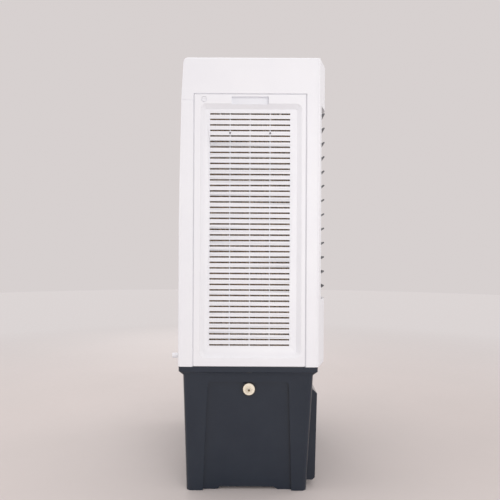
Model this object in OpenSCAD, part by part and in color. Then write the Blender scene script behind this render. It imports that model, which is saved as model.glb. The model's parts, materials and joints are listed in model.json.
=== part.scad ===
// Evaporative cooler: a cabinet on a water tank, with three pad panels, a fan and a louvred outlet.
// The origin is the middle of the footprint on the floor. The outlet faces -Y and +Z is up.

/* [Cabinet] */
// Width from side to side
cabinet_w = 730; // [720:5:760]
// Height from the floor to the top of the cap
cabinet_h = 1348; // [1340:1:1360]
// Distance from the middle to the foremost face
front_y = 243; // [242:1:246]
// Distance from the middle to the front edge of a side face
side_front_y = 213.5; // [212:0.5:216]
// Distance from the middle to the rear face
rear_y = 220.5; // [219:0.5:222]
// Wall thickness of the mouldings
wall = 4; // [3:0.5:4]
// Height of the top cap
cap_h = 112; // [105:1:115]

/* [Tank] */
// Height of the tank with its rim
tank_h = 393; // [390:1:396]
// Height of the upright part of the rim
rim_h = 15; // [12:1:18]
// Height of the sloping part under the rim
rim_slope_h = 14; // [12:1:16]
// How far each side leans in from under the rim to the floor
tank_lean = 13; // [10:1:15]
// Depth of the panel pressed into each side
side_recess_d = 10; // [6:1:12]
// Height of the arch between the feet
arch_h = 9; // [6:1:12]

/* [Pad panels] */
// Width of a side panel
side_panel_w = 346; // [344:1:348]
// Width of the rear panel
rear_panel_w = 580; // [570:2:584]
// Depth of a panel moulding
panel_d = 22; // [20:1:24]
// Depth of the recess that holds the grille
recess_d = 15; // [13:1:16]
// Thickness of the cooling pads
pad_t = 60; // [50:5:60]

/* [Grille] */
// Spacing of the slot rows
row_pitch = 17.1; // [16.8:0.1:17.2]
// Height of a slot
slot_h = 5; // [4:0.2:7]
// Spacing of the upright ribs
column_w = 62.2; // [60:0.2:62.4]
// Width of a rib
rib_w = 3; // [2:0.5:4]

/* [Outlet louvres] */
// Number of level vanes
vane_count = 13; // [11:1:13]
// Spacing of the level vanes
vane_pitch = 45.1; // [44:0.1:45.5]
// Depth of a level vane from edge to edge
vane_chord = 44; // [40:1:44]
// Tilt of the level vanes at rest, front edge up
vane_tilt = 33; // [20:1:40]
// Number of upright swing vanes
swing_count = 6; // [4:1:6]
// Spacing of the swing vanes
swing_pitch = 95; // [90:1:100]

/* [Fan] */
// Inside radius of the fan ring
fan_r = 255; // [245:1:255]
// Number of blades
blade_count = 7; // [5:1:9]
// Radius of the motor
motor_r = 64; // [55:1:68]

/* [Hidden] */
$fn = 64;
eps = 0.01;

white = [0.93, 0.93, 0.94];
charcoal = [0.22, 0.24, 0.28];
cream = [0.96, 0.93, 0.83];
pad_brown = [0.55, 0.42, 0.27];
black = [0.1, 0.1, 0.1];
steel = [0.7, 0.7, 0.72];
clear = [0.75, 0.85, 0.9];
board_green = [0.1, 0.4, 0.25];
cable_grey = [0.5, 0.5, 0.52];

// Cuts reach this far out and up, beyond everything else
clear_xy = 400;
clear_z = 1400;

half_w = cabinet_w / 2;
cap_z = cabinet_h - cap_h;
bevel_w = 90;
corner_r = 14;
cap_r = 19;
seam = 2.5;
seam_depth = 2.5;
closing_gap = 0.4;
ledge_gap = 0.6;
bend_z = 816;
top_lean = 8.5;
cap_lean = 6;
panel_half = side_panel_w / 2;
frame_edge = panel_half + seam;

// Tank
rim_rear_y = 218.5;
slope_z = tank_h - rim_h;
body_top_z = slope_z - rim_slope_h;
body_half_w = half_w - rim_slope_h;
body_front_y = side_front_y - rim_slope_h + 1.5;
body_rear_y = rim_rear_y - rim_slope_h + 2;
lean_front = 19;
lean_rear = 11;
tank_r = 16;
side_lean = atan(tank_lean / body_top_z);
tank_floor = 16;
arch_y = [-94, 100];
bulge_half_w = 300;
bulge_z = [18, 307];
bulge_foot_y = -213;
bulge_top_y = -219;
recess_top_z = 343;
recess_top_y = [-124, 128];
recess_foot_y = [-135, 144];
inlet_z = 320;
boss_x = body_half_w - side_recess_d + 1;
drain_z = 45;
drain_x = 180;
drain_r = 16;
window_x = 215;
window_w = 22;
window_z = [80, 275];

// Panels
panel_z = tank_h + 1;
panel_top = cap_z - 2;
side_panel_h = panel_top - panel_z;
rail_h = 20;
rail_z = cap_z - rail_h;
rear_panel_top = rail_z - 4;
rear_panel_h = rear_panel_top - panel_z;
rear_panel_y = rear_y - top_lean;
side_rows = 43;
rear_rows = 41;
first_row = 64;
recess_low = 26;
recess_slope = 14;
pull_w = 114;
pull_h = 21.5;
pull_d = 12;
lock_r = 7.4;
lock_ring = 1.2;
pad_gap = 19;
pad_low = 31;
pad_rail_d = 10;
lip_r = 2;

// Outlet
vane_t = 5;
vane_y = -216.5;
vane_half = 326;
top_vane_z = 1173.5;
pin_r = 2.5;
crank_r = 1.5;
fit = 0.08;
crank_arm = 17;
opening_half = 330;
opening_z = [600, 1208];
collar_y = -193;
swing_y = -172;
swing_chord = 40;
swing_t = 4;
swing_arm = 14;
swing_z = [612, 1196];
swing_link_z = 645;
leader_x = -swing_pitch / 2;

// Fan
fan_z = 889;
bulkhead_y = -150;
ring_end_y = -50;
tip_gap = 6;
blade_y = -100;
blade_pitch = 32;
blade_chord = 104;
blade_t = 6;
hub_r = 62;
shaft_r = 7;

// Controls, in the front of the cap
control_w = 340;
control_h = 72;
control_z = cap_z + 55;
control_face_y = -front_y + 3;
button_r = 9;
button_x = [-140, -95, 95, 140];
display_half_w = 42;
display_half_h = 20;
display_t = 1.5;

// Turns an outline's corners into arcs. Each entry of radii belongs to the corner with its number.
function unit(v) = v / norm(v);
function arc_corner(before, at, after, r, steps = 7) =
    let (
        a = unit(before - at),
        b = unit(after - at),
        half = acos(a * b) / 2,
        start = at + a * r / tan(half),
        end = at + b * r / tan(half),
        middle = at + unit(a + b) * r / sin(half),
        from = atan2(start[1] - middle[1], start[0] - middle[0]),
        turn = atan2(end[1] - middle[1], end[0] - middle[0]) - from,
        sweep = turn > 180 ? turn - 360 : turn < -180 ? turn + 360 : turn
    )
    [for (k = [0:steps]) middle + r * [cos(from + sweep * k / steps), sin(from + sweep * k / steps)]];
function rounded(points, radii) = [
    for (i = [0:len(points) - 1])
        let (n = len(points))
        each radii[i] > 0
            ? arc_corner(points[(i + n - 1) % n], points[i], points[(i + 1) % n], radii[i])
            : [points[i]]
];

// Plan of the cabinet, drawn in by the given amount
function cabinet_plan(inset) =
    let (w = half_w - inset, f = front_y - inset, s = side_front_y - inset * 0.85, b = rear_y - inset)
    rounded(
        [[-w, b], [-w, -s], [-(w - bevel_w), -f], [w - bevel_w, -f], [w, -s], [w, b]],
        [12, corner_r, 30, 30, corner_r, 12]
    );

// Side profile of the walls, whose rear leans forward above the bend
function wall_side(inset) = [
    [-front_y - 5, tank_h - 1], [rear_y - inset, tank_h - 1], [rear_y - inset, bend_z],
    [rear_y - top_lean - inset, cap_z + 1], [-front_y - 5, cap_z + 1]
];

// Side profile of the cap, with a round upper rear edge
function cap_side(inset, low) =
    rounded(
        [[-front_y - 5, low - 1], [rear_y - top_lean - inset, low - 1],
         [rear_y - top_lean - cap_lean - inset, cabinet_h - inset], [-front_y + inset + 3, cabinet_h - inset],
         [-front_y - 5, cabinet_h - inset - 8]],
        [0, 0, cap_r - inset, 0, 0]
    );

module along_x(length) {
    rotate([90, 0, 90]) translate([0, 0, -length / 2]) linear_extrude(length) children();
}

module rod_x(r, x0, x1) {
    translate([x0, 0, 0]) rotate([0, 90, 0]) cylinder(r = r, h = x1 - x0);
}

module rod_y(r, y0, y1) {
    translate([0, y0, 0]) rotate([-90, 0, 0]) cylinder(r = r, h = y1 - y0);
}

module box(low, high) {
    translate(low) cube(high - low);
}

module both_sides() {
    children();
    mirror([1, 0, 0]) children();
}

// ---------------------------------------------------------------- tank

// A block that leans in towards the floor, with round upright edges
module leaning_block(inset, low, high) {
    share = (body_top_z - low) / body_top_z;
    hull() {
        for (sx = [-1, 1]) {
            corner_column(sx, -1, inset, low, share);
            corner_column(sx, 1, inset, low, share);
            corner_column(sx, -1, inset, high - 1, 0);
            corner_column(sx, 1, inset, high - 1, 0);
        }
    }
}

module corner_column(sx, sy, inset, z, share) {
    r = tank_r - inset[1] / 2;
    x = body_half_w - tank_lean * share - inset[0] - r;
    depth = sy < 0 ? body_front_y - lean_front * share : body_rear_y - lean_rear * share;
    translate([sx * x, sy * (depth - inset[1] - r), z]) cylinder(r = r, h = 1, $fn = 32);
}

// Front bulge of the tank, leaning the other way from the tank itself
module front_bulge(inset) {
    low = bulge_z[0] + inset;
    high = bulge_z[1] - inset;
    top_y = bulge_top_y + inset;
    foot_y = bulge_foot_y + inset;
    along_x(2 * (bulge_half_w - inset))
        polygon([
            [bulkhead_y, low], [foot_y + 8, low], [foot_y, low + 8],
            [top_y, high - 12], [top_y + 12, high], [bulkhead_y, high]
        ]);
}

module side_recess_cut() {
    // The cut follows the lean of the side, and widens towards the floor.
    top = recess_top_z / cos(side_lean);
    foot_x = body_half_w - tank_lean;
    translate([-foot_x, 0, 0]) rotate([0, -side_lean, 0])
        rotate([90, 0, 90]) translate([0, 0, -10])
            linear_extrude(side_recess_d + 10)
                polygon(rounded(
                    [[recess_foot_y[0], -20], [recess_foot_y[1], -20],
                     [recess_top_y[1], top], [recess_top_y[0], top]],
                    [0, 0, 10, 10]
                ));
}

module inlet_boss() {
    translate([0, 0, inlet_z]) rod_x(26, -boss_x - 1, -boss_x + 14);
}

module tank() {
    color(charcoal) difference() {
        union() {
            difference() {
                union() {
                    leaning_block([0, 0], 0, body_top_z);
                    front_bulge(0);
                }
                both_sides() side_recess_cut();
            }
            rim();
            inlet_boss();
            translate([drain_x, 0, drain_z]) rod_y(drain_r + 9, body_rear_y - 25, body_rear_y - 4);
        }
        leaning_block([side_recess_d + wall, wall + 2], tank_floor, body_top_z + 2);
        intersection() {
            front_bulge(5);
            box([-clear_xy, -clear_xy, bulge_z[0] + 8], [clear_xy, clear_xy, clear_z]);
        }
        box([-body_half_w + 18, -body_front_y + 7, body_top_z - 1],
            [body_half_w - 18, body_rear_y - 7, tank_h + 1]);
        translate([0, 0, inlet_z]) rod_x(10.5, -half_w, -boss_x + 30);
        translate([drain_x, 0, drain_z]) rod_y(drain_r, 150, body_rear_y + 2);
        window_block();
        arch_cut();
    }
}

module rim() {
    plan = [[-half_w, -side_front_y], [half_w, -side_front_y], [half_w, rim_rear_y], [-half_w, rim_rear_y]];
    translate([0, 0, slope_z]) linear_extrude(rim_h) polygon(rounded(plan, [12, 12, 12, 12]));
    hull() {
        for (sx = [-1, 1]) {
            for (y = [-side_front_y + 12, rim_rear_y - 12])
                translate([sx * (half_w - 12), y, slope_z - 1]) cylinder(r = 12, h = 1, $fn = 32);
            corner_column(sx, -1, [0, 0], body_top_z - 1, 0);
            corner_column(sx, 1, [0, 0], body_top_z - 1, 0);
        }
    }
}

// The tank stands on its front and rear feet, with a low arch between them
module arch_cut() {
    along_x(cabinet_w + 10) polygon([
        [arch_y[0], -1], [arch_y[0] + 16, arch_h], [arch_y[1] - 11, arch_h], [arch_y[1], -1]
    ]);
}

// The window fills its slot in the bulge from behind the outer face.
module level_window() {
    color(clear) intersection() {
        front_bulge(1);
        window_block();
        box([0, -clear_xy, 0], [clear_xy, -205, clear_z]);
    }
}

module window_block() {
    box([window_x - window_w / 2, -clear_xy, window_z[0]], [window_x + window_w / 2, -200, window_z[1]]);
}

module drain_plug() {
    color(charcoal) translate([drain_x, 0, drain_z]) difference() {
        union() {
            rod_y(drain_r - 0.3, body_rear_y - 30, body_rear_y - 4);
            rod_y(drain_r + 7, body_rear_y - 4, body_rear_y);
            translate([-3, body_rear_y, -drain_r]) cube([6, 10, 2 * drain_r]);
        }
        rod_y(drain_r - 5, body_rear_y - 31, body_rear_y - 10);
    }
}

module inlet_gasket() {
    color(black) translate([0, 0, inlet_z]) difference() {
        rod_x(21.5, -boss_x - 4, -boss_x - 1);
        rod_x(10.5, -boss_x - 5, -boss_x);
    }
}

// Hose nipple with a flange, and a shank through the tank wall
module inlet_fitting() {
    color(cream) translate([0, 0, inlet_z]) difference() {
        union() {
            rod_x(18.5, -boss_x - 8, -boss_x - 4);
            rod_x(10.8, -boss_x - 11, -boss_x - 8);
            rod_x(7, -boss_x - 22.5, -boss_x - 11);
            rod_x(10.3, -boss_x - 4, -nut_x - 0.2);
        }
        rod_x(4.5, -half_w - 5, -nut_x + 1);
    }
}

nut_x = boss_x - 7.5;
float_x = -boss_x + 62;
float_z = inlet_z - 14;
float_r = 36;
float_reach = 102;
float_drop = 28;

module float_valve() {
    color(cream) difference() {
        union() {
            translate([0, 0, inlet_z]) rod_x(15, -nut_x, -nut_x + 12);
            translate([0, 0, inlet_z]) rod_x(9, -nut_x + 12, float_x - 4);
            for (y = [-9, 5]) box([-nut_x + 14, y, float_z - 8], [float_x + 6, y + 4, inlet_z]);
        }
        translate([float_x, 10, float_z]) rotate([90, 0, 0]) cylinder(r = 2 + fit, h = 20);
        translate([0, 0, inlet_z]) rod_x(4.5, -nut_x - 1, float_x - 10);
    }
}

// Arm and float, hanging at the low-water stop
module float_arm() {
    color(cream) translate([float_x, 0, float_z]) {
        translate([0, 9, 0]) rotate([90, 0, 0]) cylinder(r = 2, h = 18);
        rotate([90, 0, 0]) translate([0, 0, -4.5]) cylinder(r = 6, h = 9);
        rotate([0, float_drop, 0]) {
            rod_x(3, 4, 70);
            translate([float_reach, 0, 0]) sphere(r = float_r);
        }
    }
}

// ---------------------------------------------------------------- water

pump_x = 150;
pump_y = 88;
pump_top = 92;

module pump() {
    color(black) difference() {
        union() {
            box([pump_x - 38, pump_y - 30, tank_floor + 8], [pump_x + 38, pump_y + 30, pump_top - 12]);
            translate([pump_x, pump_y, pump_top - 12]) cylinder(r = 26, h = 4);
            translate([pump_x, pump_y, pump_top - 8]) cylinder(r = 8, h = 28);
            for (dx = [-28, 28], dy = [-20, 20])
                translate([pump_x + dx, pump_y + dy, tank_floor]) cylinder(r = 7, h = 8);
        }
        translate([pump_x, pump_y, pump_top]) cylinder(r = 5, h = 30);
        for (k = [-3:3])
            box([pump_x + k * 9 - 2, pump_y - 31, tank_floor + 14], [pump_x + k * 9 + 2, pump_y - 22, 60]);
    }
}

hose_r = 10;
hose_bend = 30;
tray_z = 1200;
tray_h = 24;
tray_out = half_w - panel_d - 3;
tray_in = half_w - pad_gap - pad_t;
tray_rear = rear_panel_y - panel_d - 2;
tray_rear_in = rear_panel_y - pad_gap - pad_t;

module riser_hose() {
    end_z = tray_z + 12;
    color(cable_grey) difference() {
        union() {
            translate([pump_x, pump_y, pump_top]) cylinder(r = hose_r, h = end_z - hose_bend - pump_top);
            hose_turn(hose_r, end_z);
            translate([pump_x, 0, end_z]) rod_y(hose_r, pump_y + hose_bend, tray_rear_in + 1);
        }
        translate([pump_x, pump_y, pump_top - 1]) cylinder(r = 8.2, h = end_z - hose_bend - pump_top + 1);
        hose_turn(8.2, end_z);
        translate([pump_x, 0, end_z]) rod_y(8.2, pump_y + hose_bend - eps, tray_rear_in + 2);
    }
}

module hose_turn(r, end_z) {
    translate([pump_x, pump_y + hose_bend, end_z - hose_bend]) rotate([90, 0, 90])
        rotate([0, 0, 90]) rotate_extrude(angle = 90) translate([hose_bend, 0]) circle(r = r);
}

// Trough over the three pads, with a row of drip holes in each run
module water_distributor() {
    color(white) difference() {
        trough(0, tray_z, tray_z + tray_h);
        trough(3, tray_z + 3, tray_z + tray_h + 1);
        for (side = [-1, 1], k = [-3:3])
            translate([side * (tray_out + tray_in) / 2, k * 38, tray_z - 1]) cylinder(r = 3, h = 6);
        for (k = [-5:5])
            translate([k * 46, (tray_rear + tray_rear_in) / 2, tray_z - 1]) cylinder(r = 3, h = 6);
        translate([pump_x, 0, tray_z + 12]) rod_y(hose_r + 0.3, tray_rear_in - 5, tray_rear_in + 8);
    }
}

module trough(inset, low, high) {
    difference() {
        box([-tray_out + inset, -140 + inset, low], [tray_out - inset, tray_rear - inset, high]);
        box([-tray_in - inset, -150, low - 1], [tray_in + inset, tray_rear_in + inset, high + 1]);
    }
}

// ---------------------------------------------------------------- cabinet

post_x = half_w - 37;

// Deck on the tank that carries the pads' drip channels
module base_frame() {
    color(white) translate([0, 0, tank_h]) difference() {
        union() {
            box([-half_w + 25, collar_y, 0], [half_w - 25, rear_panel_y - panel_d - 2, 8]);
            for (side = [-1, 1])
                box([side * post_x - 14, frame_edge + wall, 0], [side * post_x + 14, rear_y - wall - 2, 8]);
        }
        box([-250, -130, -1], [250, 110, 9]);
        for (side = [-1, 1], k = [-2:2])
            translate([side * (tray_in + 30) - 20, k * 52 - 15, -1]) cube([40, 30, 10]);
    }
}

module wall_block(inset, low, high) {
    intersection() {
        translate([0, 0, low]) linear_extrude(high - low) polygon(cabinet_plan(inset));
        along_x(cabinet_w + 10) polygon(wall_side(inset));
    }
}

module cabinet_walls() {
    difference() {
        wall_block(0, tank_h, cap_z);
        wall_block(wall, tank_h - 0.5, cap_z + 0.5);
    }
}

// Corner posts and the rail over the rear panel
module rear_frame() {
    mouth = rear_panel_w / 2 + seam;
    color(white) difference() {
        union() {
            difference() {
                cabinet_walls();
                box([-clear_xy, -clear_xy, 0], [clear_xy, frame_edge, clear_z]);
                box([-mouth, frame_edge, tank_h - 1], [mouth, clear_xy, rail_z]);
            }
            both_sides() {
                box([-half_w + wall, frame_edge, tank_h], [-half_w + 24, frame_edge + wall, cap_z]);
                // Lips that close the bottoms of the seams
                box([-half_w + seam_depth, panel_half + closing_gap, tank_h],
                    [-half_w + panel_d, frame_edge + 1, cap_z]);
                box([-mouth - 1, rear_panel_y - panel_d, tank_h],
                    [-rear_panel_w / 2 - closing_gap, rear_panel_y - seam_depth, rail_z]);
                intersection() {
                    box([-mouth - wall, rear_panel_y - panel_d, tank_h], [-mouth, rear_y, cap_z]);
                    along_x(cabinet_w) polygon(wall_side(1));
                }
                box([-half_w + 20, frame_edge, tank_h + 8], [-mouth, frame_edge + 3, tank_h + 60]);
            }
            box([-mouth - wall, rear_panel_y - panel_d, rear_panel_top + ledge_gap],
                [mouth + wall, rear_panel_y - seam_depth, rail_z + wall]);
        }
        translate([gland_x, 0, gland_z]) rod_y(6.2, 150, 250);
        // Shadow line under the rail, carried round the corner posts
        difference() {
            box([-clear_xy, panel_half, rail_z - 1], [clear_xy, clear_xy, rail_z + 0.2]);
            box([-half_w + 1.2, 0, 0], [half_w - 1.2, rear_y - 9.8, clear_z]);
        }
    }
}

gland_x = -318;
gland_z = 419;

module cord_gland() {
    color(white) translate([gland_x, 0, gland_z]) difference() {
        union() {
            rod_y(8, rear_y + 3, front_y);
            rod_y(11, rear_y, rear_y + 3);
            rod_y(6, rear_y - 16, rear_y);
            rod_y(10, rear_y - wall - 5, rear_y - wall);
        }
        rod_y(3.5, rear_y - 20, front_y + 1);
    }
}

module vane_places() {
    for (i = [0:vane_count - 1]) translate([0, vane_y, top_vane_z - i * vane_pitch]) children();
}

module front_fascia() {
    color(white) difference() {
        union() {
            difference() {
                cabinet_walls();
                box([-clear_xy, -frame_edge, 0], [clear_xy, clear_xy, clear_z]);
                box([-opening_half, -clear_xy, opening_z[0]], [opening_half, bulkhead_y, opening_z[1]]);
            }
            // Returns beside the pad panels, with a lip that closes the bottom of the seam
            both_sides() {
                box([-half_w + wall, -frame_edge - wall, tank_h], [-half_w + panel_d, -frame_edge, cap_z]);
                box([-half_w + seam_depth, -frame_edge - 1, tank_h],
                    [-half_w + panel_d, -panel_half - closing_gap, cap_z]);
            }
            // Collar that carries the vane pins
            intersection() {
                difference() {
                    box([-opening_half - wall, -clear_xy, opening_z[0] - wall],
                        [opening_half + wall, collar_y, opening_z[1] + wall]);
                    box([-opening_half, -clear_xy - 1, opening_z[0]], [opening_half, collar_y + 1, opening_z[1]]);
                }
                translate([0, 0, tank_h]) linear_extrude(cap_z - tank_h) polygon(cabinet_plan(0));
            }
            // Floor and ceiling flanges
            for (z = [tank_h, cap_z - wall]) fascia_flange(z);
        }
        vane_places() rod_x(pin_r + fit, -opening_half - wall - 1, opening_half + wall + 1);
    }
}

module fascia_flange(z) {
    intersection() {
        translate([0, 0, z]) linear_extrude(wall) polygon(cabinet_plan(1));
        box([-clear_xy, -clear_xy, z - 1], [clear_xy, collar_y - eps, z + wall + 1]);
    }
}

module cap_block(inset, low) {
    intersection() {
        translate([0, 0, low]) linear_extrude(cabinet_h - inset - low) polygon(cabinet_plan(inset));
        along_x(cabinet_w + 10) polygon(cap_side(inset, low));
        rotate([90, 0, 0]) translate([0, 0, -clear_xy]) linear_extrude(2 * clear_xy)
            polygon(rounded(
                [[-half_w + inset, low], [half_w - inset, low],
                 [half_w - inset, cabinet_h - inset], [-half_w + inset, cabinet_h - inset]],
                [0, 0, 8, 8]
            ));
    }
}

module top_cap() {
    color(white) difference() {
        union() {
            difference() {
                cap_block(0, cap_z);
                cap_block(wall, cap_z - 1);
            }
            // Ledges over the side panels
            both_sides()
                box([-half_w + seam_depth, -panel_half, panel_top + ledge_gap],
                    [-half_w + panel_d, panel_half, cap_z + wall]);
        }
        box([-control_w / 2, -clear_xy, control_z - control_h / 2],
            [control_w / 2, -front_y + wall + 2, control_z + control_h / 2]);
    }
}

// ---------------------------------------------------------------- controls

module control_panel() {
    half = control_w / 2 + 6;
    color(charcoal) difference() {
        union() {
            box([-control_w / 2 + 0.5, control_face_y, control_z - control_h / 2 + 0.5],
                [control_w / 2 - 0.5, -front_y + wall, control_z + control_h / 2 - 0.5]);
            box([-half, -front_y + wall, control_z - control_h / 2 - 6],
                [half, -front_y + wall + 3, control_z + control_h / 2 + 6]);
        }
        for (x = button_x) translate([x, 0, control_z]) rod_y(button_r + 0.4, -clear_xy, -200);
        display_block(0, control_face_y + display_t);
        display_block(4, -200);
    }
}

module display_window() {
    color(clear) difference() {
        display_block(0.3, control_face_y + display_t);
        display_block(-1, control_face_y + 0.2);
    }
}

// Everything in front of the given y within the display's outline, drawn in by the inset
module display_block(inset, y) {
    box([-display_half_w + inset, -clear_xy, control_z - display_half_h + inset],
        [display_half_w - inset, y, control_z + display_half_h - inset]);
}

module button(x) {
    face_y = -front_y + 0.6;
    color(white) translate([x, 0, control_z]) {
        rod_y(button_r, face_y, -front_y + wall + 3.4);
        rod_y(button_r + 2, -front_y + wall + 3.4, -front_y + wall + 5);
        rod_y(2, -front_y + wall + 5, -front_y + wall + 9);
    }
}

module button_power() { button(button_x[0]); }
module button_speed() { button(button_x[1]); }
module button_cool() { button(button_x[2]); }
module button_swing() { button(button_x[3]); }

module control_board() {
    board_y = -front_y + wall + 12;
    color(board_green) {
        box([-160, board_y, control_z - 30], [160, board_y + 2, control_z + 30]);
        box([-36, board_y - 4, control_z - 14], [36, board_y, control_z + 14]);
        box([60, board_y + 2, control_z - 20], [100, board_y + 24, control_z + 20]);
        for (z = [-24, 24]) translate([-120, 0, control_z + z]) rod_y(3, -front_y + wall + 3, board_y);
        for (z = [-24, 24]) translate([120, 0, control_z + z]) rod_y(3, -front_y + wall + 3, board_y);
    }
}

// ---------------------------------------------------------------- fan

module fan_shroud() {
    color(charcoal) difference() {
        union() {
            box([-half_w + 25, bulkhead_y, tank_h + 8], [half_w - 25, bulkhead_y + wall, cap_z - 8]);
            difference() {
                box([-opening_half, collar_y, opening_z[0] - wall],
                    [opening_half, bulkhead_y + 1, opening_z[1] + wall]);
                box([-opening_half + wall, collar_y - 1, opening_z[0]],
                    [opening_half - wall, bulkhead_y, opening_z[1]]);
            }
            translate([0, 0, fan_z]) rod_y(fan_r + wall, bulkhead_y, ring_end_y);
            translate([0, 0, fan_z]) rod_y(fan_r + 10, ring_end_y - 4, ring_end_y);
        }
        translate([0, 0, fan_z]) rod_y(fan_r, bulkhead_y - 1, ring_end_y + 1);
        swing_places() translate([0, 0, opening_z[0] - wall - 1])
            cylinder(r = pin_r + fit, h = opening_z[1] - opening_z[0] + 2 * wall + 2);
    }
}

module motor_bracket() {
    color(steel) translate([0, 0, fan_z]) difference() {
        union() {
            rod_y(motor_r + 14, ring_end_y, ring_end_y + 6);
            for (a = [45:90:315]) rotate([0, a, 0])
                box([motor_r, ring_end_y, -12], [fan_r + 8, ring_end_y + 6, 12]);
        }
        rod_y(20, ring_end_y - 1, ring_end_y + 7);
        for (a = [0:90:270]) rotate([0, a, 0])
            translate([fan_r - 40, 0, 0]) rod_y(3, ring_end_y - 1, ring_end_y + 7);
    }
}

module fan_motor() {
    color(steel) translate([0, 0, fan_z]) {
        rod_y(motor_r, ring_end_y + 6, ring_end_y + 92);
        rod_y(motor_r + 4, ring_end_y + 42, ring_end_y + 52);
        rod_y(30, ring_end_y + 92, ring_end_y + 100);
        rod_y(19.5, ring_end_y - 6, ring_end_y + 6);
        rod_y(shaft_r, blade_y - 34, ring_end_y - 6);
    }
}

// Hub and flat pitched blades, cut to the ring's curve
module impeller() {
    color(charcoal) translate([0, 0, fan_z]) difference() {
        union() {
            rod_y(hub_r, blade_y - 30, blade_y + 30);
            intersection() {
                for (k = [0:blade_count - 1]) rotate([0, k * 360 / blade_count, 0])
                    translate([0, blade_y, 0]) rotate([blade_pitch, 0, 0])
                        box([hub_r - 10, -blade_t / 2, -blade_chord / 2], [fan_r, blade_t / 2, blade_chord / 2]);
                difference() {
                    rod_y(fan_r - tip_gap, blade_y - 32, blade_y + 32);
                    rod_y(hub_r - 4, blade_y - 60, blade_y + 60);
                }
            }
        }
        rod_y(shaft_r + 0.05, blade_y - 35.5, blade_y + 60);
        rod_y(hub_r - 6, blade_y + 4, blade_y + 31);
    }
}

// ---------------------------------------------------------------- outlet vanes

module strip(chord, thickness) {
    square([chord - thickness, thickness], center = true);
    for (side = [-1, 1]) translate([side * (chord - thickness) / 2, 0]) circle(d = thickness);
}

// Level vane number i, counted from the top, with its pins and its crank pin
module louvre_vane(i) {
    color(charcoal) translate([0, vane_y, top_vane_z - (i - 1) * vane_pitch]) rotate([-vane_tilt, 0, 0]) {
        difference() {
            along_x(2 * vane_half) strip(vane_chord, vane_t);
            box([-4, crank_arm - 10, -5], [4, 40, 5]);
        }
        translate([0, crank_arm, 0]) rod_x(crank_r, -4.5, 4.5);
        both_sides() rod_x(pin_r, -opening_half - wall, -vane_half + 1);
    }
}

// Bar that joins the vanes' crank pins
module louvre_link() {
    drop = crank_arm * sin(vane_tilt);
    pin_y = vane_y + crank_arm * cos(vane_tilt);
    low = top_vane_z - (vane_count - 1) * vane_pitch - drop - 6;
    color(charcoal) difference() {
        box([-2, pin_y - 3, low], [2, pin_y + 3, top_vane_z - drop + 6]);
        for (i = [0:vane_count - 1])
            translate([0, pin_y, top_vane_z - drop - i * vane_pitch]) rod_x(crank_r + fit, -3, 3);
    }
}

module swing_places() {
    for (i = [0:swing_count - 1])
        translate([(i - (swing_count - 1) / 2) * swing_pitch, swing_y, 0]) children();
}

module swing_vane(i) {
    x = (i - 1 - (swing_count - 1) / 2) * swing_pitch;
    color(charcoal) translate([x, swing_y, 0]) {
        difference() {
            translate([0, 0, swing_z[0]]) linear_extrude(swing_z[1] - swing_z[0])
                rotate(90) strip(swing_chord, swing_t);
            box([-5, swing_arm - 7, swing_link_z - 4], [5, 30, swing_link_z + 4]);
        }
        translate([0, swing_arm, swing_link_z - 4.5]) cylinder(r = crank_r, h = 9);
        translate([0, 0, opening_z[0] - wall]) cylinder(r = pin_r, h = swing_z[0] - opening_z[0] + wall + 1);
        translate([0, 0, swing_z[1] - 1]) cylinder(r = pin_r, h = opening_z[1] - swing_z[1] + wall + 1);
    }
}

module swing_link() {
    reach = (swing_count - 1) / 2 * swing_pitch;
    color(charcoal) difference() {
        box([-reach - 6, swing_y + swing_arm - 3, swing_link_z - 2],
            [reach + 6, swing_y + swing_arm + 3, swing_link_z + 2]);
        swing_places() translate([0, swing_arm, swing_link_z - 3]) cylinder(r = crank_r + fit, h = 6);
    }
}

// Small geared motor under the duct, coaxial with the leading swing vane
module swing_motor() {
    top = opening_z[0] - wall;
    color(steel) translate([leader_x, swing_y, 0]) {
        translate([0, 0, top - 22]) cylinder(r = 20, h = 18);
        box([-26, -6, top - 4], [26, 6, top]);
    }
}

// ---------------------------------------------------------------- pad panels

// A tapered pocket with round corners, widest at its mouth, going in along +Y
module pocket(low, high, depth, slope, r) {
    hull() {
        for (x = [low[0] + r, high[0] - r], z = [low[1] + r, high[1] - r])
            translate([x, -eps, z]) rotate([-90, 0, 0])
                cylinder(r1 = r, r2 = max(r - slope, 2), h = depth + eps, $fn = 32);
    }
}

function field_half(columns) = columns * column_w / 2;
function field_low() = first_row - slot_h / 2;
function field_high(rows) = first_row + (rows - 1) * row_pitch + slot_h / 2;

module grille(columns, rows) {
    half = field_half(columns);
    face = recess_d;
    back = recess_d + 3;
    slat = row_pitch - slot_h;
    groove = 1;
    for (i = [0:rows - 2])
        translate([0, 0, first_row + (i + 0.5) * row_pitch]) along_x(2 * half + 2)
            polygon([[face, -slat / 2], [face, -groove], [face + groove, 0], [face, groove],
                     [face, slat / 2], [back, slat / 2], [back, -slat / 2]]);
    for (k = [1:columns - 1])
        box([-half + k * column_w - rib_w / 2, face + 0.6, field_low() - 1],
            [-half + k * column_w + rib_w / 2, back, field_high(rows) + 1]);
    // Short extra ribs in the middle of the outer columns of the top row
    for (side = [-1, 1])
        box([side * (half - column_w / 2) - 1, face + 0.6, field_high(rows) - slot_h - 1],
            [side * (half - column_w / 2) + 1, back, field_high(rows) + 1]);
}

function screw_x(columns) = [for (side = [-1, 1]) side * (columns / 2 - 1) * column_w];
function screw_z(rows) = first_row + (rows - 4.5) * row_pitch;

module screw_spots(columns, rows) {
    for (x = screw_x(columns)) translate([x, 0, screw_z(rows)]) children();
}

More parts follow.
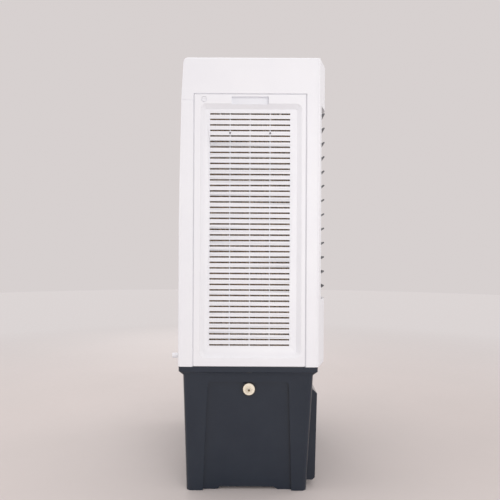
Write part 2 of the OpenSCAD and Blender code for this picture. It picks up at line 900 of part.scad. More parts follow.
// Panel moulding: x runs across, z up from its lower edge, and y inwards from its outer face
module panel_shell(w, h, columns, rows, shift) {
    recess_half = field_half(columns) + 32.5;
    top = field_high(rows) + 26;
    low = [-recess_half + shift, recess_low];
    high = [recess_half + shift, top];
    skin = 3;
    rail_half = recess_half - 6;
    difference() {
        union() {
            difference() {
                panel_blank(w, h);
                box([-w / 2 + skin, skin, skin], [w / 2 - skin, panel_d + 1, h - skin]);
            }
            pocket(low - [skin, skin], high + [skin, skin], recess_d + skin, recess_slope, 21);
            box([-pull_w / 2 - skin, 0, top - 12], [pull_w / 2 + skin, pull_d + skin, top + pull_h + skin]);
            translate([-lock_x(columns), 0, lock_z(rows)]) rod_y(lock_r + lock_ring + 2, 0, 14);
            for (side = [-1, 1])
                box([shift + side * rail_half - 1.5, recess_d - 6, recess_low + 20],
                    [shift + side * rail_half + 1.5, panel_d + pad_rail_d, top - 30]);
        }
        pocket(low, high, recess_d, recess_slope, 18);
        box([-field_half(columns), recess_d - 1, field_low()],
            [field_half(columns), recess_d + 2 * skin, field_high(rows)]);
        box([-pull_w / 2, -1, top - 2], [pull_w / 2, pull_d, top + pull_h]);
        translate([-lock_x(columns), 0, lock_z(rows)]) {
            rod_y(lock_r + lock_ring, -1, 3);
            rod_y(5.3, -1, 20);
        }
    }
    difference() {
        union() {
            grille(columns, rows);
            screw_spots(columns, rows) rod_y(4.5, recess_d - 3, recess_d + skin);
        }
        screw_spots(columns, rows) {
            rod_y(3, recess_d - 4, recess_d - 1);
            rod_y(1.7, recess_d - 4, recess_d + 9);
        }
    }
}

function lock_x(columns) = field_half(columns) + 18;
function lock_z(rows) = field_high(rows) + 39;

// Bevelled block, with a round lip along the lower outer edge on which the panel tips
module panel_blank(w, h) {
    edge = 2;
    lip_cut = lip_r + 0.6;
    intersection() {
        box([-w / 2, 0, 0], [w / 2, panel_d, h]);
        translate([0, 0, -1]) linear_extrude(h + 2)
            polygon([
                [-w / 2, panel_d], [-w / 2, edge], [-w / 2 + edge, 0],
                [w / 2 - edge, 0], [w / 2, edge], [w / 2, panel_d]
            ]);
        along_x(w + 2) polygon([[0, lip_cut], [lip_cut, 0], [panel_d, 0], [panel_d, h], [edge, h], [0, h - edge]]);
    }
    translate([0, lip_r, lip_r]) rod_x(lip_r, -w / 2 + edge, w / 2 - edge);
}

module panel_pad(columns, rows) {
    half = field_half(columns) + 20;
    box([-half, pad_gap, pad_low], [half, pad_gap + pad_t, field_high(rows) + 12]);
}

module panel_screws(columns, rows) {
    screw_spots(columns, rows) {
        rod_y(2.8, recess_d - 3, recess_d - 1);
        rod_y(1.5, recess_d - 1, recess_d + 2.8);
    }
}

// Quarter-turn stud with a coin slot
module panel_lock(columns, rows) {
    translate([-lock_x(columns), 0, lock_z(rows)]) difference() {
        union() {
            rod_y(lock_r, 0.4, 2.8);
            rod_y(5, 2.8, 17);
        }
        box([-lock_r - 1, 0, -1.2], [lock_r + 1, 1.8, 1.2]);
    }
}

module on_left() {
    translate([-half_w, 0, panel_z]) rotate([0, 0, -90]) children();
}

module on_rear() {
    translate([0, rear_panel_y, panel_z]) rotate([0, 0, 180]) children();
}

side_shift = 3;
side_columns = 4;
rear_columns = 8;

module panel_left() {
    color(white) on_left() panel_shell(side_panel_w, side_panel_h, side_columns, side_rows, side_shift);
}

module pad_left() {
    color(pad_brown) on_left() panel_pad(side_columns, side_rows);
}

module panel_screws_left() {
    color(steel) on_left() panel_screws(side_columns, side_rows);
}

module panel_lock_left() {
    color(white) on_left() panel_lock(side_columns, side_rows);
}

module panel_rear() {
    color(white) on_rear() panel_shell(rear_panel_w, rear_panel_h, rear_columns, rear_rows, 0);
}

module pad_rear() {
    color(pad_brown) on_rear() panel_pad(rear_columns, rear_rows);
}

module panel_screws_rear() {
    color(steel) on_rear() panel_screws(rear_columns, rear_rows);
}

module panel_lock_rear() {
    color(white) on_rear() panel_lock(rear_columns, rear_rows);
}

module panel_right() { mirror([1, 0, 0]) panel_left(); }
module pad_right() { mirror([1, 0, 0]) pad_left(); }
module panel_screws_right() { mirror([1, 0, 0]) panel_screws_left(); }
module panel_lock_right() { mirror([1, 0, 0]) panel_lock_left(); }

tank();
level_window();
drain_plug();
inlet_gasket();
inlet_fitting();
float_valve();
float_arm();
pump();
riser_hose();
water_distributor();
base_frame();
rear_frame();
front_fascia();
top_cap();
cord_gland();
control_panel();
display_window();
control_board();
button_power();
button_speed();
button_cool();
button_swing();
fan_shroud();
motor_bracket();
fan_motor();
impeller();
louvre_link();
swing_link();
swing_motor();
panel_left();
panel_right();
panel_rear();
pad_left();
pad_right();
pad_rear();
panel_screws_left();
panel_screws_right();
panel_screws_rear();
panel_lock_left();
panel_lock_right();
panel_lock_rear();
for (i = [1:vane_count]) louvre_vane(i);
for (i = [1:swing_count]) swing_vane(i);
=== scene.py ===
import json
import math

import bmesh
import bpy
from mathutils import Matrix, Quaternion, Vector
from mathutils.bvhtree import BVHTree


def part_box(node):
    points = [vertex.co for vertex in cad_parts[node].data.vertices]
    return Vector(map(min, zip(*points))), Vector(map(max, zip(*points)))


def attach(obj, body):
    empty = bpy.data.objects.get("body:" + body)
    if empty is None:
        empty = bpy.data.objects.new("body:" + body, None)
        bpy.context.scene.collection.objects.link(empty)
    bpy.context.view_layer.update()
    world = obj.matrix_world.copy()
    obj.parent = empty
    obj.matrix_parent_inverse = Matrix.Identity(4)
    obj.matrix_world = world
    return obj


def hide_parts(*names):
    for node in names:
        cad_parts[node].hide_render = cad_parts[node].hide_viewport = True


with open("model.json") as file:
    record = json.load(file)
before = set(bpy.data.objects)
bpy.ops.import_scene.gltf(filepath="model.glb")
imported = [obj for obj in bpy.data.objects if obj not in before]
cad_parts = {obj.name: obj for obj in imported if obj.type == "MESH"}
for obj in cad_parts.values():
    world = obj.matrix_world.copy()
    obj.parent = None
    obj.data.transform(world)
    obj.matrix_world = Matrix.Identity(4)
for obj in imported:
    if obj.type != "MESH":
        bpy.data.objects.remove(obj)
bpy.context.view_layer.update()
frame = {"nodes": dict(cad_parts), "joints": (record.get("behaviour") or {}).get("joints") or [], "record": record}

MM = 0.001
RECORD = frame["record"]
BODY_OF = {node: body for body, nodes in RECORD["behaviour"]["bodies"].items() for node in nodes}
SLOT_OF = {part["node"]: part["material_slot"] for part in RECORD["subparts"]}
JOINTS = {joint["name"]: joint for joint in frame["joints"]}


# ---------------------------------------------------------------- camera, light and floor

EYE = Vector((-1.92, -0.0014, 0.738))
LENS_MM = 36.36
SHIFT_UP = 0.010
ROLL = math.radians(0.28)
SENSOR_MM = 36.0
CLIP_END = 60.0
BACKDROP = (0.68, 0.635, 0.63)
LAMP_TINT = (1.0, 0.985, 0.975)
MIDDLE = (0.0, 0.0, 0.65)
# Name, place, point aimed at, diameter and watts
SOFTBOXES = [
    ("key_left", (-3.1, -0.9, 1.15), MIDDLE, 2.2, 30.0),
    ("fill_front", (0.9, -3.3, 1.9), MIDDLE, 2.4, 17.0),
    ("fill_right", (3.1, 0.6, 1.5), MIDDLE, 2.2, 22.0),
    ("fill_rear", (-0.6, 3.2, 1.5), MIDDLE, 2.2, 22.0),
    ("overhead", (0.0, 0.0, 3.6), (0.0, 0.0, 0.0), 2.6, 20.0),
]


def make_camera():
    """Camera that looks level along X, with a small upward shift and roll."""
    data = bpy.data.cameras.new("camera")
    data.lens = LENS_MM
    data.sensor_width = SENSOR_MM
    data.shift_y = SHIFT_UP
    data.clip_end = CLIP_END
    camera = bpy.data.objects.new("camera", data)
    bpy.context.scene.collection.objects.link(camera)
    camera.rotation_mode = "QUATERNION"
    camera.location = EYE
    level = Vector((1.0, 0.0, 0.0)).to_track_quat("-Z", "Y")
    camera.rotation_quaternion = level @ Quaternion((0.0, 0.0, 1.0), ROLL)
    bpy.context.scene.camera = camera


def softbox(name, place, target, size, watts):
    """Round area light that faces its target."""
    data = bpy.data.lights.new(name, "AREA")
    data.shape = "DISK"
    data.size = size
    data.energy = watts
    data.color = LAMP_TINT
    light = bpy.data.objects.new(name, data)
    bpy.context.scene.collection.objects.link(light)
    light.location = place
    light.rotation_mode = "QUATERNION"
    light.rotation_quaternion = (Vector(target) - Vector(place)).to_track_quat("-Z", "Y")


def light_studio():
    """Pale surroundings with soft lamps on every side, so that each view is lit."""
    scene = bpy.context.scene
    scene.view_settings.view_transform = "Standard"
    scene.view_settings.look = "None"
    world = bpy.data.worlds.new("studio")
    world.use_nodes = True
    background = world.node_tree.nodes["Background"]
    background.inputs["Color"].default_value = (*BACKDROP, 1.0)
    background.inputs["Strength"].default_value = 1.0
    scene.world = world
    for lamp in SOFTBOXES:
        softbox(*lamp)


# ---------------------------------------------------------------- materials


def joined(tree, kind, sources):
    """A node of that kind. Its sources go to its named or numbered inputs, each a value or an output."""
    node = tree.nodes.new(kind)
    for key, value in sources.items():
        if isinstance(value, bpy.types.NodeSocket):
            tree.links.new(value, node.inputs[key])
        else:
            node.inputs[key].default_value = value
    return node


def place_of(tree, stretch=(1.0, 1.0, 1.0)):
    """Position on the piece in metres, stretched along its axes."""
    where = tree.nodes.new("ShaderNodeTexCoord")
    mapping = joined(tree, "ShaderNodeMapping", {"Vector": where.outputs["Object"], "Scale": stretch})
    return mapping.outputs["Vector"]


def noise(tree, scale, detail=2.0, stretch=(1.0, 1.0, 1.0)):
    """Noise from 0 to 1 on the piece, with that many features to a metre."""
    sources = {"Vector": place_of(tree, stretch), "Scale": scale, "Detail": detail}
    node = joined(tree, "ShaderNodeTexNoise", sources)
    return node.outputs["Fac"]


def remapped(tree, value, low, high, start=0.3, end=0.7):
    """The value, spread so that start to end becomes low to high."""
    node = joined(tree, "ShaderNodeMapRange", {
        "Value": value, "From Min": start, "From Max": end, "To Min": low, "To Max": high,
    })
    return node.outputs["Result"]


def mixed(tree, share, first, second):
    """A colour between the two, each of them a triple or an output."""
    node = tree.nodes.new("ShaderNodeMix")
    node.data_type = "RGBA"
    tree.links.new(share, node.inputs["Factor"])
    for socket, colour in ((node.inputs[6], first), (node.inputs[7], second)):
        if isinstance(colour, bpy.types.NodeSocket):
            tree.links.new(colour, socket)
        else:
            socket.default_value = (*colour, 1.0)
    return node.outputs[2]


def relief(tree, height, depth, below=None):
    """Bump of that depth in metres, over another bump if one is given."""
    node = joined(tree, "ShaderNodeBump", {"Height": height, "Strength": 1.0, "Distance": depth})
    if below is not None:
        tree.links.new(below, node.inputs["Normal"])
    return node.outputs["Normal"]


def blank(name):
    """A new material with its node tree and its shader."""
    material = bpy.data.materials.new(name)
    material.use_nodes = True
    return material, material.node_tree, material.node_tree.nodes["Principled BSDF"]


def dress(tree, shader, colour, roughness, normal=None):
    """Joins colour, roughness and bump to the shader."""
    tree.links.new(colour, shader.inputs["Base Color"])
    tree.links.new(roughness, shader.inputs["Roughness"])
    if normal is not None:
        tree.links.new(normal, shader.inputs["Normal"])


def moulded(name, colour, tint, rough, grain=0.01 * MM, sway=0.05 * MM, specular=0.5):
    """Injection-moulded plastic: faint colour drift, sheen that varies, fine grain and slow sink marks."""
    material, tree, shader = blank(name)
    shader.inputs["Specular IOR Level"].default_value = specular
    drift = remapped(tree, noise(tree, 9.0, 3.0), 0.0, 1.0)
    polish = remapped(tree, noise(tree, 55.0, 3.0), rough[0], rough[1])
    slow = relief(tree, noise(tree, 16.0, 1.0), sway)
    fine = relief(tree, noise(tree, 1500.0, 1.0), grain, slow)
    dress(tree, shader, mixed(tree, drift, colour, tint), polish, fine)
    return material


def cellulose():
    """Brown resin-stiffened paper, with fibres and pale mineral streaks that run down it."""
    material, tree, shader = blank("pad_cellulose")
    shader.inputs["Specular IOR Level"].default_value = 0.2
    blotch = remapped(tree, noise(tree, 22.0, 4.0), 0.0, 1.0)
    stain = remapped(tree, noise(tree, 120.0, 3.0), 0.0, 0.75, 0.44, 0.58)
    paper = mixed(tree, blotch, (0.56, 0.43, 0.31), (0.46, 0.34, 0.24))
    paper = mixed(tree, stain, paper, (0.17, 0.115, 0.075))
    streak = remapped(tree, noise(tree, 60.0, 3.0, (1.0, 1.0, 0.12)), 0.0, 0.45, 0.55, 0.8)
    colour = mixed(tree, streak, paper, (0.60, 0.53, 0.45))
    fibres = noise(tree, 900.0, 2.0, (1.0, 1.0, 0.3))
    dress(tree, shader, colour, remapped(tree, fibres, 0.8, 0.98), relief(tree, fibres, 0.08 * MM))
    return material


def metal(name, colour, tint, rough):
    """Bare or blackened metal with fine scratches in its sheen."""
    material, tree, shader = blank(name)
    shader.inputs["Metallic"].default_value = 1.0
    drift = remapped(tree, noise(tree, 30.0, 3.0), 0.0, 1.0)
    lines = noise(tree, 700.0)
    worn = mixed(tree, drift, colour, tint)
    dress(tree, shader, worn, remapped(tree, lines, *rough), relief(tree, lines, 0.01 * MM))
    return material


def clear(name, colour, tint, rough, opacity):
    """Transparent moulding, whose smears show in its sheen."""
    material, tree, shader = blank(name)
    shader.inputs["Alpha"].default_value = opacity
    drift = remapped(tree, noise(tree, 20.0, 2.0), 0.0, 1.0)
    smear = noise(tree, 80.0, 3.0, (1.0, 1.0, 0.4))
    dress(tree, shader, mixed(tree, drift, colour, tint), remapped(tree, smear, *rough))
    return material


def circuit_board():
    """Green lacquer over copper, with pale tracks."""
    material, tree, shader = blank("board")
    cells = joined(tree, "ShaderNodeTexVoronoi", {"Vector": place_of(tree), "Scale": 160.0})
    cells.feature = "DISTANCE_TO_EDGE"
    track = remapped(tree, cells.outputs["Distance"], 1.0, 0.0, 0.05, 0.09)
    colour = mixed(tree, track, (0.02, 0.13, 0.07), (0.06, 0.26, 0.13))
    dress(tree, shader, colour, remapped(tree, noise(tree, 90.0), 0.25, 0.4), relief(tree, track, 0.04 * MM))
    return material


MATERIALS = {
    "white_plastic": moulded("white_plastic", (0.865, 0.88, 0.915), (0.845, 0.86, 0.90), (0.36, 0.46)),
    "tank_plastic": moulded("tank_plastic", (0.0125, 0.020, 0.034), (0.0165, 0.025, 0.040), (0.06, 0.11),
                            sway=0.12 * MM),
    "louvre_plastic": moulded("louvre_plastic", (0.092, 0.094, 0.104), (0.105, 0.107, 0.117), (0.38, 0.5)),
    "cream_plastic": moulded("cream_plastic", (0.92, 0.86, 0.73), (0.88, 0.81, 0.67), (0.4, 0.55)),
    "clear_plastic": clear("clear_plastic", (0.72, 0.80, 0.85), (0.66, 0.75, 0.80), (0.12, 0.25), 0.42),
    "black_rubber": moulded("black_rubber", (0.022, 0.022, 0.023), (0.035, 0.034, 0.033), (0.65, 0.85),
                            grain=0.03 * MM, specular=0.35),
    "pad_cellulose": cellulose(),
    "pump_plastic": moulded("pump_plastic", (0.028, 0.028, 0.03), (0.04, 0.04, 0.042), (0.4, 0.55)),
    "hose_plastic": moulded("hose_plastic", (0.36, 0.37, 0.39), (0.30, 0.31, 0.33), (0.35, 0.5)),
    "control_plastic": moulded("control_plastic", (0.014, 0.015, 0.019), (0.02, 0.021, 0.026), (0.3, 0.4),
                               sway=0.03 * MM, specular=0.3),
    "display_glass": clear("display_glass", (0.012, 0.013, 0.017), (0.018, 0.019, 0.024), (0.14, 0.22), 0.72),
    "button_plastic": moulded("button_plastic", (0.62, 0.62, 0.64), (0.56, 0.56, 0.58), (0.35, 0.5)),
    "board": circuit_board(),
    "steel": metal("steel", (0.42, 0.42, 0.44), (0.34, 0.34, 0.35), (0.3, 0.5)),
    "blackened_steel": metal("blackened_steel", (0.10, 0.10, 0.105), (0.07, 0.07, 0.075), (0.35, 0.5)),
    "motor_paint": moulded("motor_paint", (0.20, 0.21, 0.225), (0.16, 0.165, 0.18), (0.35, 0.5),
                           grain=0.03 * MM),
    "impeller_plastic": moulded("impeller_plastic", (0.085, 0.09, 0.105), (0.07, 0.075, 0.09), (0.35, 0.5)),
}


# ---------------------------------------------------------------- pieces

WELD = 0.02 * MM
FLAT = math.radians(0.4)
SHARP = math.radians(28.0)
SMOOTH = math.radians(38.0)


def finished(mesh, name, body, slot, material=None):
    """A new piece from a bmesh in the row frame, shaded smooth except over sharp edges."""
    bmesh.ops.recalc_face_normals(mesh, faces=mesh.faces)
    data = bpy.data.meshes.new(name)
    mesh.to_mesh(data)
    mesh.free()
    data.polygons.foreach_set("use_smooth", [True] * len(data.polygons))
    data.set_sharp_from_angle(angle=SMOOTH)
    data.materials.append(material or MATERIALS[slot])
    piece = bpy.data.objects.new(name, data)
    bpy.context.scene.collection.objects.link(piece)
    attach(piece, body)
    return piece


def keep_near(mesh, source, width):
    """Brings a point that the rounding threw off the source surface back onto it."""
    surface = BVHTree.FromPolygons(
        [v.co for v in source.vertices], [list(p.vertices) for p in source.polygons]
    )
    for v in mesh.verts:
        nearest, _, _, distance = surface.find_nearest(v.co)
        if distance > 0.5 * width:
            v.co = nearest


def soften(node, width, segments=2):
    """The CAD node with its sharp edges rounded, in the same place."""
    mesh = bmesh.new()
    mesh.from_mesh(frame["nodes"][node].data)
    bmesh.ops.remove_doubles(mesh, verts=mesh.verts, dist=WELD)
    bmesh.ops.dissolve_limit(mesh, angle_limit=FLAT, verts=mesh.verts, edges=mesh.edges)
    mesh.normal_update()
    folds = [e for e in mesh.edges if len(e.link_faces) == 2 and e.is_convex]
    sharp = [e for e in folds if e.calc_face_angle(0.0) > SHARP]
    bmesh.ops.bevel(
        mesh, geom=sharp, offset=width, offset_type="ABSOLUTE", segments=segments, profile=0.5,
        affect="EDGES", clamp_overlap=False,
    )
    keep_near(mesh, frame["nodes"][node].data, width)
    finish = MATERIALS["blackened_steel"] if node.startswith("panel_screws") else None
    piece = finished(mesh, node + "_moulding", BODY_OF[node], SLOT_OF[node], finish)
    weighted = piece.modifiers.new("flat_faces", "WEIGHTED_NORMAL")
    weighted.keep_sharp = True
    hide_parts(node)
    return piece


EDGE_WIDTHS = {
    "tank": 1.4, "top_cap": 1.6, "front_fascia": 1.0, "rear_frame": 0.9, "panel": 0.7, "base_frame": 0.8,
    "fan_shroud": 0.8, "louvre_link": 0.4, "swing_link": 0.5, "motor_bracket": 0.6,
    "fan_motor": 1.2, "pump": 1.0,
    "control_panel": 0.6, "button": 0.6, "water_distributor": 0.7, "swing_motor": 1.0, "drain_plug": 0.8,
    "cord_gland": 0.6, "panel_lock": 0.4, "panel_screws": 0.3, "display_window": 0.3, "control_board": 0.25,
}
FINE_EDGE = 0.35
REBUILT = ("pad_left", "pad_right", "pad_rear", "impeller", "inlet_fitting")


def edge_width(node):
    """Rounding for a node in metres, by the longest name in the table that it starts with."""
    found = [key for key in EDGE_WIDTHS if node.startswith(key)]
    return EDGE_WIDTHS[max(found, key=len)] * MM if found else FINE_EDGE * MM


# Cooling pads

SHEET_PITCH = 7.2 * MM
SHEET_T = 0.9 * MM
WAVE = 21.0 * MM
WAVE_STEPS = 6


def corrugated_pad(node, across, depth):
    """Sheets that stand side by side, their flutes rising at 45 degrees to left and right in turn."""
    low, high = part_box(node)
    count = round((high[across] - low[across]) / SHEET_PITCH)
    pitch = (high[across] - low[across]) / count
    swing = pitch / 2 - SHEET_T
    travel = high[depth] - low[depth]
    mesh = bmesh.new()
    for i in range(count):
        rise = travel if i % 2 else -travel
        start = low.z - max(0.0, rise)
        steps = math.ceil((high.z - min(0.0, rise) - start) / WAVE * WAVE_STEPS)
        previous = None
        for k in range(steps + 1):
            z = start + k * WAVE / WAVE_STEPS
            ends = []
            for along, up in ((low[depth], 0.0), (high[depth], rise)):
                point = Vector((0.0, 0.0, z + up))
                point[across] = low[across] + (i + 0.5) * pitch + swing * math.sin(2 * math.pi * z / WAVE)
                point[depth] = along
                ends.append(mesh.verts.new(point))
            if previous:
                mesh.faces.new((previous[0], ends[0], ends[1], previous[1]))
            previous = ends
    for limit, way in ((low.z, -1.0), (high.z, 1.0)):
        everything = mesh.verts[:] + mesh.edges[:] + mesh.faces[:]
        bmesh.ops.bisect_plane(mesh, geom=everything, plane_co=(0, 0, limit), plane_no=(0, 0, way),
                               clear_outer=True)
    piece = finished(mesh, node + "_sheets", BODY_OF[node], SLOT_OF[node])
    thick = piece.modifiers.new("paper", "SOLIDIFY")
    thick.thickness = SHEET_T
    thick.offset = 0.0
    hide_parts(node)


# Turned pieces


def turned(mesh, outline, centre, axis, segments=64, wobble=None):
    """Revolves (along, radius) pairs round an axis through centre. A radius of nothing closes the end."""
    axis = Vector(axis).normalized()
    side = axis.orthogonal().normalized()
    up = axis.cross(side)
    rings = []
    for along, radius in outline:
        middle = Vector(centre) + axis * along
        if radius <= 0.0:
            rings.append([mesh.verts.new(middle)])
            continue
        ring = []
        for k in range(segments):
            a = 2 * math.pi * k / segments
            r = radius if wobble is None else wobble(a, along, radius)
            ring.append(mesh.verts.new(middle + (side * math.cos(a) + up * math.sin(a)) * r))
        rings.append(ring)
    for first, second in zip(rings, rings[1:]):
        for k in range(segments):
            n = (k + 1) % segments
            if len(first) == 1:
                mesh.faces.new((first[0], second[k], second[n]))
            elif len(second) == 1:
                mesh.faces.new((first[k], second[0], first[n]))
            else:
                mesh.faces.new((first[k], second[k], second[n], first[n]))
    return rings


def ring_closed(mesh, rings):
    """Joins the last ring to the first, for an outline that goes round a bore."""
    first, last = rings[0], rings[-1]
    for k in range(len(first)):
        n = (k + 1) % len(first)
        mesh.faces.new((last[k], first[k], first[n], last[n]))


# The fitting's radii and lengths in millimetres
BORE_R = 4.5
SHANK_R = 10.3
FLANGE_R = 18.5
FLANGE_T = 4.0
FLANGE_LOBES = 18
LOBE_DEPTH = 0.45
COLLAR_R = 10.8
COLLAR_T = 3.0
BARB_COUNT = 3
BARB_PITCH = 3.4
BARB_R = 7.0
NECK_R = 6.1


def nipple_outline():
    """(along, radius) pairs in millimetres, from the inner end out to the tip and back into the bore."""
    low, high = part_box("inlet_fitting")
    tip, foot = low.x / MM, high.x / MM
    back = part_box("inlet_gasket")[0].x / MM
    flange = back - FLANGE_T
    collar = flange - COLLAR_T
    barbs = []
    for k in range(BARB_COUNT):
        start = tip + 0.6 + k * BARB_PITCH
        barbs += [(start, NECK_R), (start + 2.4, BARB_R), (start + 2.7, BARB_R - 0.1), (start + 2.9, NECK_R)]
    outline = [
        (foot, BORE_R), (foot, SHANK_R - 0.5), (foot - 0.5, SHANK_R), (back, SHANK_R),
        (back, FLANGE_R - 0.5), (back - 0.5, FLANGE_R),
        (flange + 0.9, FLANGE_R), (flange + 0.2, FLANGE_R - 0.5),
        (flange, FLANGE_R - 1.3), (flange, COLLAR_R), (collar + 0.4, COLLAR_R), (collar, COLLAR_R - 0.4),
        (collar, NECK_R),
    ]
    return outline + list(reversed(barbs)) + [(tip, 5.6), (tip, 4.7), (tip + 0.4, BORE_R)]


def nipple_wobble(a, along, radius):
    """Scallops the flange and cuts the collar to a hexagon."""
    if radius > (FLANGE_R - 1.5) * MM:
        return radius - LOBE_DEPTH * MM * (0.5 - 0.5 * math.cos(FLANGE_LOBES * a))
    if (SHANK_R + 0.05) * MM < radius < (COLLAR_R + 0.2) * MM:
        return radius * (0.93 + 0.07 * abs(math.cos(3 * a)) ** 0.5)
    return radius


def inlet():
    """Hose nipple with barbs, a hexagon and a scalloped flange, and the shank through the tank wall."""
    low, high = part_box("inlet_fitting")
    middle = (low + high) / 2
    mesh = bmesh.new()
    points = [(along * MM, radius * MM) for along, radius in nipple_outline()]
    rings = turned(mesh, points, (0.0, middle.y, middle.z), (1, 0, 0), 6 * FLANGE_LOBES, nipple_wobble)
    ring_closed(mesh, rings)
    piece = finished(mesh, "inlet_nipple", BODY_OF["inlet_fitting"], SLOT_OF["inlet_fitting"])
    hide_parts("inlet_fitting")


# Fan

BLADES = 7
BLADE_ROWS = 18
BLADE_COLUMNS = 10
BLADE_T = 2.4 * MM
BLADE_SWEEP = 0.42
BLADE_CAMBER = 5.0 * MM
ROOT_PITCH = 44.0
TIP_PITCH = 24.0
HUB_R = 62.0 * MM
SHAFT_R = 7.2 * MM
TIP_GAP = 0.4 * MM


def hub_outline(front, back):
    """Domed nose, straight skirt, hollow back and the bore for the motor shaft."""
    return [
        (front, 0.0), (front, 20 * MM), (front + 1 * MM, 34 * MM), (front + 4 * MM, 48 * MM),
        (front + 10 * MM, 58 * MM), (front + 18 * MM, HUB_R),
        (back - 3 * MM, HUB_R), (back - 2 * MM, HUB_R - 1 * MM),
        (back - 2 * MM, HUB_R - 4 * MM), (6 * MM, HUB_R - 5 * MM), (4 * MM, 16 * MM), (4 * MM, SHAFT_R),
        (-20 * MM, SHAFT_R), (-20 * MM, 0.0),
    ]


def blade_row(centre, turn, share, reach):
    """Points across a blade, at that share of the way from the hub to the tip."""
    root = HUB_R - 3 * MM
    radius = root + (reach - root - TIP_GAP) * share
    pitch = math.radians(ROOT_PITCH - (ROOT_PITCH - TIP_PITCH) * share)
    chord = (70.0 + 62.0 * share - 14.0 * share ** 6) * MM
    row = []
    for k in range(BLADE_COLUMNS + 1):
        s = 2.0 * k / BLADE_COLUMNS - 1.0
        lift = chord / 2 * s * math.sin(pitch) - BLADE_CAMBER * (1 - s * s) * (0.4 + 0.6 * share)
        angle = turn + BLADE_SWEEP * share ** 1.6 + chord / 2 * s * math.cos(pitch) / radius
        across = Vector((math.cos(angle), 0.0, math.sin(angle)))
        row.append(centre + across * radius + Vector((0.0, lift, 0.0)))
    return row


def impeller():
    """Hub with swept, cambered blades."""
    low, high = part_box("impeller")
    centre = Vector(JOINTS["fan_spin"]["pos_m"])
    points = [v.co for v in frame["nodes"]["impeller"].data.vertices]
    reach = max(math.hypot(point.x - centre.x, point.z - centre.z) for point in points)
    mesh = bmesh.new()
    turned(mesh, hub_outline(low.y - centre.y, high.y - centre.y), centre, (0, 1, 0), 72)
    piece = finished(mesh, "impeller_hub", "impeller", "impeller_plastic")
    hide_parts("impeller")
    mesh = bmesh.new()
    for b in range(BLADES):
        turn = 2 * math.pi * b / BLADES
        rows = []
        for i in range(BLADE_ROWS + 1):
            rows.append([mesh.verts.new(point) for point in blade_row(centre, turn, i / BLADE_ROWS, reach)])
        for first, second in zip(rows, rows[1:]):
            for k in range(BLADE_COLUMNS):
                mesh.faces.new((first[k], first[k + 1], second[k + 1], second[k]))
    piece = finished(mesh, "impeller_blades", "impeller", "impeller_plastic")
    thick = piece.modifiers.new("blade", "SOLIDIFY")
    thick.thickness = BLADE_T
    thick.offset = 0.0
    round_edge = piece.modifiers.new("edge", "BEVEL")
    round_edge.width = BLADE_T / 3
    round_edge.segments = 2


# Small raised marks on the buttons


def bar(mesh, middle, half):
    """Adds a bar round its middle, from its half lengths."""
    made = bmesh.ops.create_cube(mesh, size=1.0)["verts"]
    for v in made:
        v.co = Vector(middle) + Vector((v.co.x * 2 * half[0], v.co.y * 2 * half[1], v.co.z * 2 * half[2]))


def arc(mesh, centre, radius, width, start, end, depth, steps=28):
    """A flat curved bar, from one angle to another, facing the front."""
    rows = []
    for k in range(steps + 1):
        a = math.radians(start + (end - start) * k / steps)
        out = Vector((math.cos(a), 0.0, math.sin(a)))
        row = []
        for r, y in (
            (radius - width, 0), (radius + width, 0), (radius + width, -depth), (radius - width, -depth),
        ):
            row.append(mesh.verts.new(Vector(centre) + out * r + Vector((0.0, y, 0.0))))
        rows.append(row)
    for first, second in zip(rows, rows[1:]):
        for k in range(4):
            n = (k + 1) % 4
            mesh.faces.new((first[k], first[n], second[n], second[k]))
    mesh.faces.new(rows[0])
    mesh.faces.new(list(reversed(rows[-1])))


MARK_DEPTH = 0.25 * MM
MARK_SINK = 0.05 * MM


def button_marks():
    """Generic raised signs: a power ring, rising bars, a flake of rings and a fan of air."""
    depth = MARK_DEPTH
    for kind in ("power", "speed", "cool", "swing"):
        low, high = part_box("button_" + kind)
        face = Vector(((low.x + high.x) / 2, low.y + MARK_SINK, (low.z + high.z) / 2))
        mesh = bmesh.new()
        if kind == "power":
            arc(mesh, face, 4.2 * MM, 0.45 * MM, 120, 420, depth)
            bar(mesh, face + Vector((0, -depth / 2, 3.4 * MM)), (0.45 * MM, depth / 2, 2.0 * MM))
        elif kind == "speed":
            for k in range(3):
                tall = (1.6 + 1.3 * k) * MM
                place = Vector(((k - 1) * 2.9 * MM, -depth / 2, tall - 4.0 * MM))
                bar(mesh, face + place, (0.75 * MM, depth / 2, tall))
        elif kind == "cool":
            for k in range(3):
                a = math.radians(60 * k)
                for s in (-1, 1):
                    arc(mesh, face + Vector((math.cos(a) * 2.4 * MM * s, 0, math.sin(a) * 2.4 * MM * s)),
                        1.7 * MM, 0.35 * MM, 0, 360, depth)
        else:
            for s in (-1, 1):
                arc(mesh, face + Vector((0, 0, -2.6 * MM)), 5.4 * MM, 0.45 * MM,
                    90 - s * 12, 90 - s * 60, depth)
            arc(mesh, face + Vector((0, 0, -2.6 * MM)), 2.0 * MM, 0.45 * MM, 0, 180, depth)
        finished(mesh, "mark_" + kind, "button_" + kind, "control_plastic")


DIGIT_X = 9.0 * MM
DIGIT_HALF_H = 10.5 * MM
DIGIT_HALF_W = 6.0 * MM
SEGMENT_HALF = 0.8 * MM
LAMP_X = 30.0 * MM
LAMP_PITCH = 7.0 * MM


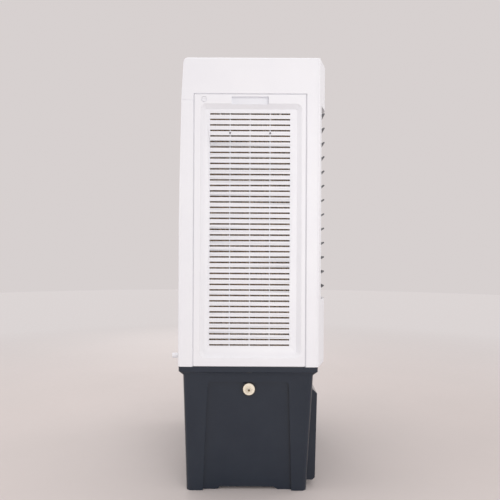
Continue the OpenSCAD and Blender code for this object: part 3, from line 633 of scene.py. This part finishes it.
def display_digits():
    """Two unlit digits and two rows of small lamps on the board, behind the smoked window."""
    low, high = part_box("display_window")
    z = (low.z + high.z) / 2
    y = high.y + 0.9 * MM
    deep = 0.4 * MM
    inset = 1.2 * MM
    mesh = bmesh.new()
    for x in (-DIGIT_X, DIGIT_X):
        for dz in (-DIGIT_HALF_H, 0.0, DIGIT_HALF_H):
            bar(mesh, (x, y, z + dz), (DIGIT_HALF_W - inset, deep, SEGMENT_HALF))
        for dx in (-DIGIT_HALF_W, DIGIT_HALF_W):
            for dz in (-DIGIT_HALF_H / 2, DIGIT_HALF_H / 2):
                bar(mesh, (x + dx, y, z + dz), (SEGMENT_HALF, deep, DIGIT_HALF_H / 2 - inset))
    for k in range(4):
        for x in (-LAMP_X, LAMP_X):
            bar(mesh, (x, y, z + (k - 1.5) * LAMP_PITCH), (2.2 * MM, deep, 1.0 * MM))
    finished(mesh, "display_digits", "cabinet", "button_plastic")


FLOOR_R = 9.0
# The floor turns into the backdrop between these distances from the cooler
FADE = (1.2, 3.6)


def floor():
    """Pale studio floor that fades into the backdrop."""
    mesh = bmesh.new()
    turned(mesh, [(0.0, FLOOR_R), (0.0, 0.0)], (0, 0, 0), (0, 0, 1), 128)
    data = bpy.data.meshes.new("floor")
    bmesh.ops.recalc_face_normals(mesh, faces=mesh.faces)
    mesh.to_mesh(data)
    mesh.free()
    material, tree, shader = blank("floor")
    shader.inputs["Specular IOR Level"].default_value = 0.1
    drift = remapped(tree, noise(tree, 2.0, 3.0), 0.0, 1.0)
    colour = mixed(tree, drift, (0.66, 0.615, 0.60), (0.64, 0.60, 0.585))
    reach = joined(tree, "ShaderNodeVectorMath", {0: place_of(tree)})
    reach.operation = "LENGTH"
    far = remapped(tree, reach.outputs["Value"], 0.0, 1.0, *FADE)
    tree.links.new(mixed(tree, far, (0.0, 0.0, 0.0), BACKDROP), shader.inputs["Emission Color"])
    shader.inputs["Emission Strength"].default_value = 1.0
    colour = mixed(tree, far, colour, (0.0, 0.0, 0.0))
    dress(tree, shader, colour, remapped(tree, noise(tree, 30.0), 0.65, 0.8))
    data.materials.append(material)
    piece = bpy.data.objects.new("floor", data)
    bpy.context.scene.collection.objects.link(piece)


make_camera()
light_studio()
floor()
for cad_node in frame["nodes"]:
    if cad_node not in REBUILT:
        soften(cad_node, edge_width(cad_node))
corrugated_pad("pad_left", 1, 0)
corrugated_pad("pad_right", 1, 0)
corrugated_pad("pad_rear", 0, 1)
inlet()
impeller()
button_marks()
display_digits()
